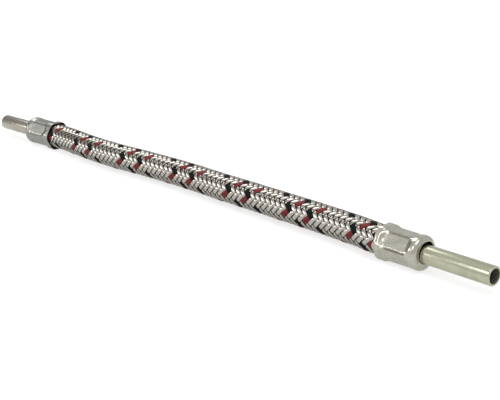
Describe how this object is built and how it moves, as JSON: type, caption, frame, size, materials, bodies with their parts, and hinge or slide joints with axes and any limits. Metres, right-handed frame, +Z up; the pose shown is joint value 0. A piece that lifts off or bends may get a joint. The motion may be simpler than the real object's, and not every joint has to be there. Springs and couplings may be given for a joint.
{
  "type": "braided oil hose",
  "caption": "Rubber oil hose in a steel wire braid with coloured tracers, crimped at each end onto a plain steel pipe.",
  "frame": {"origin": "below the middle of the hose's length and width, on the surface that it lies on", "axes": "+X along the hose from the left pipe to the right one, +Y across it, +Z up"},
  "size_m": [0.4295, 0.0236, 0.0186],
  "materials": {
    "pipe": "drawn steel tube, zinc plated with a faint yellow-green tint, smooth",
    "ferrule": "zinc plated pressed steel, bright, marked by the crimping jaws",
    "braid_wire": "bright tinned steel wire, laid in flat plaits",
    "red_tracer": "dark red lacquered wire, matte",
    "black_tracer": "black lacquered wire, matte",
    "hose_rubber": "matte black rubber"
  },
  "bodies": {
    "root": {"pipe_left": "pipe", "pipe_right": "pipe", "ferrule_left": "ferrule", "ferrule_right": "ferrule", "rubber_hose": "hose_rubber", "wire_braid": "braid_wire"}
  },
  "joints": []
}
